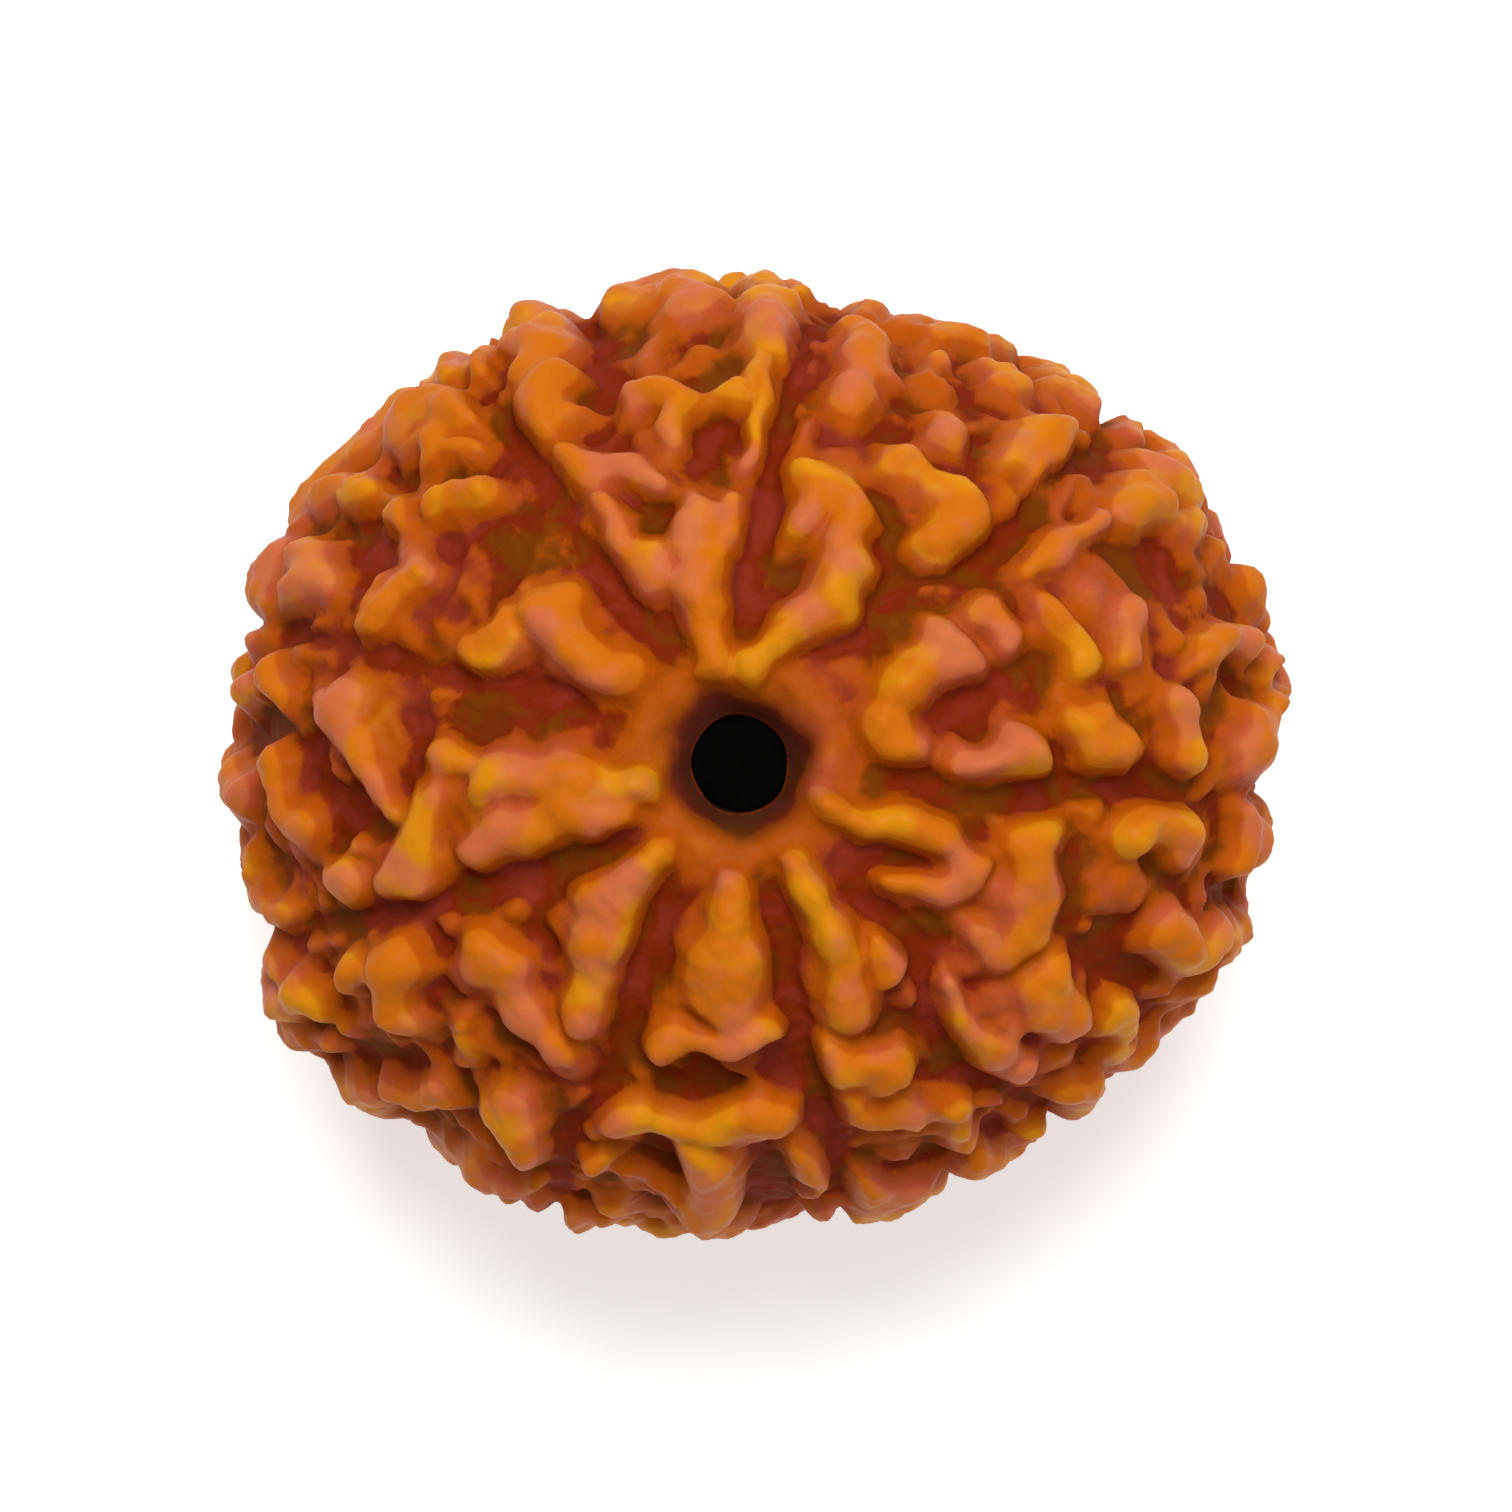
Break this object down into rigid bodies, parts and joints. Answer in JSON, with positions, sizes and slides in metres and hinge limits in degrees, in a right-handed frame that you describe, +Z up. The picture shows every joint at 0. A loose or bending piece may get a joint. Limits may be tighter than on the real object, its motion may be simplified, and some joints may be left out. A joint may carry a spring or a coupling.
{
  "type": "nine mukhi rudraksha bead",
  "caption": "Natural rudraksha stone with lines from mouth to mouth, knobbly ridges between them and a hole along its axis, to string as a bead or rest on a surface.",
  "frame": {"origin": "on the surface that the bead rests on, under the middle of its box", "axes": "+Z up along the natural hole, +X along the longer side, +Y across it"},
  "size_m": [0.0269, 0.0243, 0.0197],
  "materials": {
    "seed_stone": "oiled: amber crests over dark red-brown valleys, soft gloss"
  },
  "bodies": {
    "root": {"rudraksha_bead": "seed_stone"}
  },
  "joints": []
}
